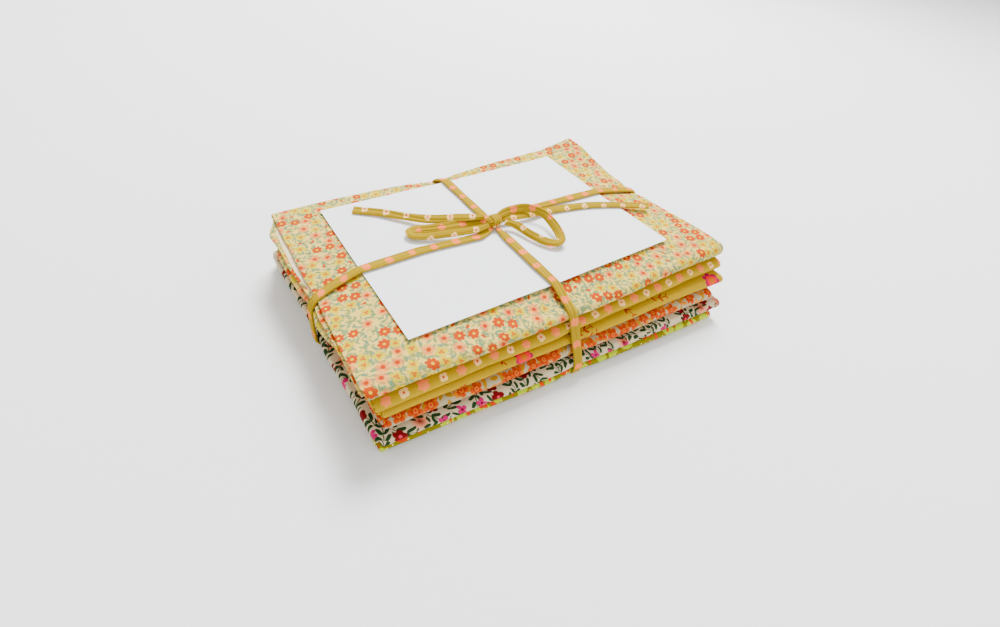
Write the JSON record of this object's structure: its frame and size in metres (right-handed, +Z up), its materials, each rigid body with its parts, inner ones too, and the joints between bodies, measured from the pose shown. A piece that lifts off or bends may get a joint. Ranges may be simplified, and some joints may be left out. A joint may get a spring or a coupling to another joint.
{
  "type": "precut quilt fabric bundle",
  "caption": "Bundle of folded cotton print fabrics under a blank card, tied crosswise with a flat cloth tie that ends in a bow.",
  "frame": {"origin": "on the table under the middle of the bundle's footprint, measured without the bow's loops and free ends", "axes": "+X along the folded front edges to the right, +Y from the folded front edges to the back, +Z up"},
  "size_m": [0.2931, 0.2148, 0.0602],
  "materials": {
    "cream_print": "matt cotton lawn, cream ground with small orange, pink and yellow flowers and grey-green leaves",
    "mustard_print": "matt cotton lawn, mustard ground with pale pink blossoms and small white squares",
    "yellow_print": "matt cotton lawn, golden yellow with sparse coral and magenta flowers",
    "orange_print": "matt cotton lawn, grey-white ground closely covered with orange and amber flowers",
    "vine_print": "matt cotton lawn, pale ground with dark green leafy stems and red and pink flowers",
    "olive_print": "matt cotton lawn, olive ground with lime leaves, orange arcs and white dots",
    "white_card": "smooth uncoated white card, bare",
    "tie_print": "matt mustard cotton sewn into a narrow flat tube, with pale pink blossoms and white diamonds"
  },
  "bodies": {
    "root": {"coupon_1_cream": "cream_print", "coupon_2_mustard": "mustard_print", "coupon_3_yellow": "yellow_print", "coupon_4_orange": "orange_print", "coupon_5_vine": "vine_print", "coupon_6_olive": "olive_print", "label_card": "white_card", "tie_band_long": "tie_print", "tie_band_short": "tie_print", "tie_knot": "tie_print", "tie_loop_left": "tie_print", "tie_loop_right": "tie_print", "tie_tail_left": "tie_print", "tie_tail_right": "tie_print"}
  },
  "joints": []
}
